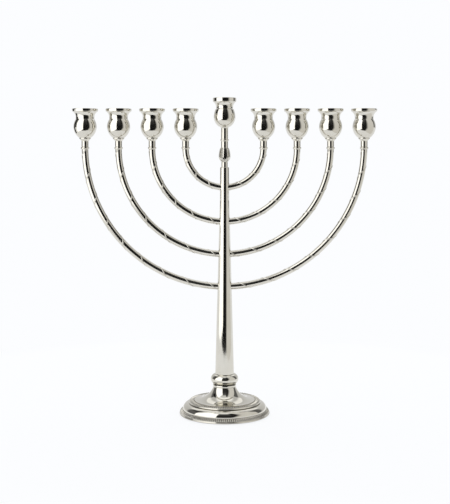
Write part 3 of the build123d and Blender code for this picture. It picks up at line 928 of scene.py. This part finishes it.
def softbox(name, location, target, size, strength):
    """Large area light, out of the camera's sight."""
    data = bpy.data.lights.new(name, "AREA")
    data.shape = "RECTANGLE"
    data.size, data.size_y = size
    data.energy = strength * math.pi * size[0] * size[1]
    item = bpy.data.objects.new(name, data)
    item.location = location
    direction = Vector(target) - item.location
    item.rotation_euler = direction.to_track_quat("-Z", "Y").to_euler()
    item.visible_camera = False
    bpy.context.scene.collection.objects.link(item)


def studio_tree(owner):
    """The empty node tree of a material or world."""
    owner.use_nodes = True
    owner.node_tree.nodes.clear()
    return owner.node_tree


def card(name, corners, finish):
    """Flat studio card that only reflections see; finish fills its material's tree."""
    mesh = bpy.data.meshes.new(name)
    mesh.from_pydata(corners, [], [(0, 1, 2, 3)])
    uv = mesh.uv_layers.new(name="card")
    for loop, place in zip(uv.data, ((0, 0), (1, 0), (1, 1), (0, 1))):
        loop.uv = place
    material = bpy.data.materials.new(name)
    finish(studio_tree(material))
    mesh.materials.append(material)
    item = bpy.data.objects.new(name, mesh)
    bpy.context.scene.collection.objects.link(item)
    item.visible_camera = False
    item.visible_diffuse = False
    item.visible_shadow = False


def upright_card(name, ends, finish, heights=(0.0, CARD_TOP)):
    """Studio card that stands between two points of the floor plan."""
    start, end = ends
    bottom, top = heights
    corners = [(*start, bottom), (*end, bottom), (*end, top), (*start, top)]
    card(name, corners, finish)


def glow(dark, bright, start, end, colour=(1, 1, 1), lean=0.0, knee=0.0):
    """Card finish whose glow rises from dark to bright between two shares of the card's length.

    Below the knee, a share of the card's height, the rise leans towards the card's start."""

    def finish(tree):
        place = add(tree, "ShaderNodeTexCoord").outputs["UV"]
        split = add(tree, "ShaderNodeSeparateXYZ")
        tree.links.new(place, split.inputs[0])
        strength = add(tree, "ShaderNodeMapRange", interpolation_type="SMOOTHSTEP")
        below = arithmetic(tree, "SUBTRACT", knee, split.outputs["Y"])
        below = arithmetic(tree, "MAXIMUM", below, 0.0)
        shift = arithmetic(tree, "MULTIPLY", below, lean)
        along = arithmetic(tree, "ADD", split.outputs["X"], shift)
        tree.links.new(along, strength.inputs["Value"])
        strength.inputs["From Min"].default_value = start
        strength.inputs["From Max"].default_value = end
        strength.inputs["To Min"].default_value = dark
        strength.inputs["To Max"].default_value = bright
        light = add(tree, "ShaderNodeEmission", Color=(*colour, 1.0))
        tree.links.new(strength.outputs["Result"], light.inputs["Strength"])
        out = add(tree, "ShaderNodeOutputMaterial")
        tree.links.new(light.outputs[0], out.inputs["Surface"])

    return finish


def even(strength):
    """Card finish that glows alike all over."""
    return glow(dark=strength, bright=strength, start=0, end=1)


def floor_corners(near, far, height):
    """Corners of a level sheet that reaches the studio's sides, between two values of Y."""
    left, right = -STUDIO_REACH, STUDIO_REACH
    return [(left, near, height), (right, near, height), (right, far, height), (left, far, height)]


def make_floor():
    """Pale floor that turns into an even white sweep away from the object."""
    mesh = bpy.data.meshes.new("floor")
    mesh.from_pydata(floor_corners(-STUDIO_REACH, STUDIO_REACH, 0), [], [(0, 1, 2, 3)])
    material = bpy.data.materials.new("floor")
    tree = studio_tree(material)
    place = add(tree, "ShaderNodeTexCoord").outputs["Object"]
    distance = add(tree, "ShaderNodeVectorMath", operation="LENGTH")
    tree.links.new(place, distance.inputs[0])
    sweep = ramp(tree, distance.outputs["Value"], *SWEEP_DISTANCES)
    paper = add(tree, "ShaderNodeBsdfDiffuse", Color=(*PAPER, 1.0))
    white = add(tree, "ShaderNodeEmission", Color=(*WHITE, 1.0))
    direct = add(tree, "ShaderNodeLightPath").outputs["Is Camera Ray"]
    seen = arithmetic(tree, "MULTIPLY", direct, FLOOR_EVEN_SHARE)
    both = add(tree, "ShaderNodeMixShader")
    tree.links.new(arithmetic(tree, "MAXIMUM", sweep, seen), both.inputs[0])
    tree.links.new(paper.outputs[0], both.inputs[1])
    tree.links.new(white.outputs[0], both.inputs[2])
    out = add(tree, "ShaderNodeOutputMaterial")
    tree.links.new(both.outputs[0], out.inputs["Surface"])
    mesh.materials.append(material)
    floor = bpy.data.objects.new("floor", mesh)
    bpy.context.scene.collection.objects.link(floor)


def levels(tree, source, stops):
    """Level of light for a value between -1 and 1, by straight runs between the stops."""
    item = add(tree, "ShaderNodeValToRGB")
    tree.links.new(ramp(tree, source, -1.0, 1.0), item.inputs["Fac"])
    elements = item.color_ramp.elements
    while len(elements) < len(stops):
        elements.new(1.0)
    for element, (value, level) in zip(elements, stops):
        element.position = (value + 1) / 2
        element.color = (level, level, level, 1)
    return item.outputs["Color"]


def make_world():
    """White to the eye and for soft light; for reflections a dark front under a bright
    ceiling, and a pale back."""
    world = bpy.data.worlds.new("studio")
    bpy.context.scene.world = world
    tree = studio_tree(world)
    ray = add(tree, "ShaderNodeLightPath")
    direction = add(tree, "ShaderNodeTexCoord").outputs["Generated"]
    split = add(tree, "ShaderNodeSeparateXYZ")
    tree.links.new(direction, split.inputs[0])
    depth = levels(tree, split.outputs["Y"], BACKDROP_LEVELS)
    height = levels(tree, split.outputs["Z"], CEILING_LEVELS)
    white = add(tree, "ShaderNodeBackground", Color=(*WHITE, 1.0))
    mirror = add(tree, "ShaderNodeBackground")
    tree.links.new(arithmetic(tree, "MAXIMUM", depth, height), mirror.inputs["Strength"])
    both = add(tree, "ShaderNodeMixShader")
    tree.links.new(ray.outputs["Is Glossy Ray"], both.inputs[0])
    tree.links.new(white.outputs[0], both.inputs[1])
    tree.links.new(mirror.outputs[0], both.inputs[2])
    out = add(tree, "ShaderNodeOutputWorld")
    tree.links.new(both.outputs[0], out.inputs["Surface"])


def make_studio():
    """White room with a dark table end in front, a softbox and a dark flag on the left, a
    reflector on the right and a soft light above."""
    make_world()
    make_floor()
    card("table_end", floor_corners(-STUDIO_REACH, TABLE_EDGE_Y, TABLE_END_Z), even(FLAG_GLOW))
    upright_card("left_softbox", SOFTBOX_ENDS, even(SOFTBOX_GLOW))
    reflector_glow = glow(
        dark=0.015, bright=0.8, start=0.18, end=0.46, colour=REFLECTOR_COLOUR, lean=1.545, knee=0.17
    )
    upright_card("right_reflector", REFLECTOR_ENDS, reflector_glow)
    upright_card("left_flag", LEFT_FLAG_ENDS, even(FLAG_GLOW), LEFT_FLAG_HEIGHTS)
    softbox("top_softbox", (0, 0.55, 1.0), (0, 0.45, 0), size=(1.6, 1.4), strength=0.5)


def make_camera():
    """Camera in front of the object, looking very slightly down."""
    data = bpy.data.cameras.new("camera")
    data.sensor_width = CAMERA_SENSOR
    data.lens = CAMERA_LENS
    data.shift_y = CAMERA_SHIFT_Y
    data.clip_start, data.clip_end = CAMERA_CLIP
    camera = bpy.data.objects.new("camera", data)
    camera.location = CAMERA_PLACE
    camera.rotation_euler = (math.radians(90 - CAMERA_DIP_DEGREES), 0, 0)
    bpy.context.scene.collection.objects.link(camera)
    bpy.context.scene.camera = camera


# ---------------------------------------------------------------- making

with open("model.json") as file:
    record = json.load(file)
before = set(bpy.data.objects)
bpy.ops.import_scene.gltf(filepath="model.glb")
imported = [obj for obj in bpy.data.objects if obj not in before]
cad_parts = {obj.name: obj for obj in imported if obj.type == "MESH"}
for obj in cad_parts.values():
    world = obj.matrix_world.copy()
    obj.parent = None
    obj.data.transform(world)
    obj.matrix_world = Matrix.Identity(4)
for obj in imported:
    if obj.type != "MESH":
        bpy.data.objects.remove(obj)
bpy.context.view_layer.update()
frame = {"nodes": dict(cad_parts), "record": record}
make_camera()

pieces = make_pieces()
materials = make_materials()
for piece in pieces:
    dress(piece, materials[piece["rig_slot"]])
for part in frame["record"]["subparts"]:
    dress(frame["nodes"][part["node"]], materials[part["material_slot"]])
make_studio()

scene = bpy.context.scene
scene.view_settings.view_transform = "Standard"
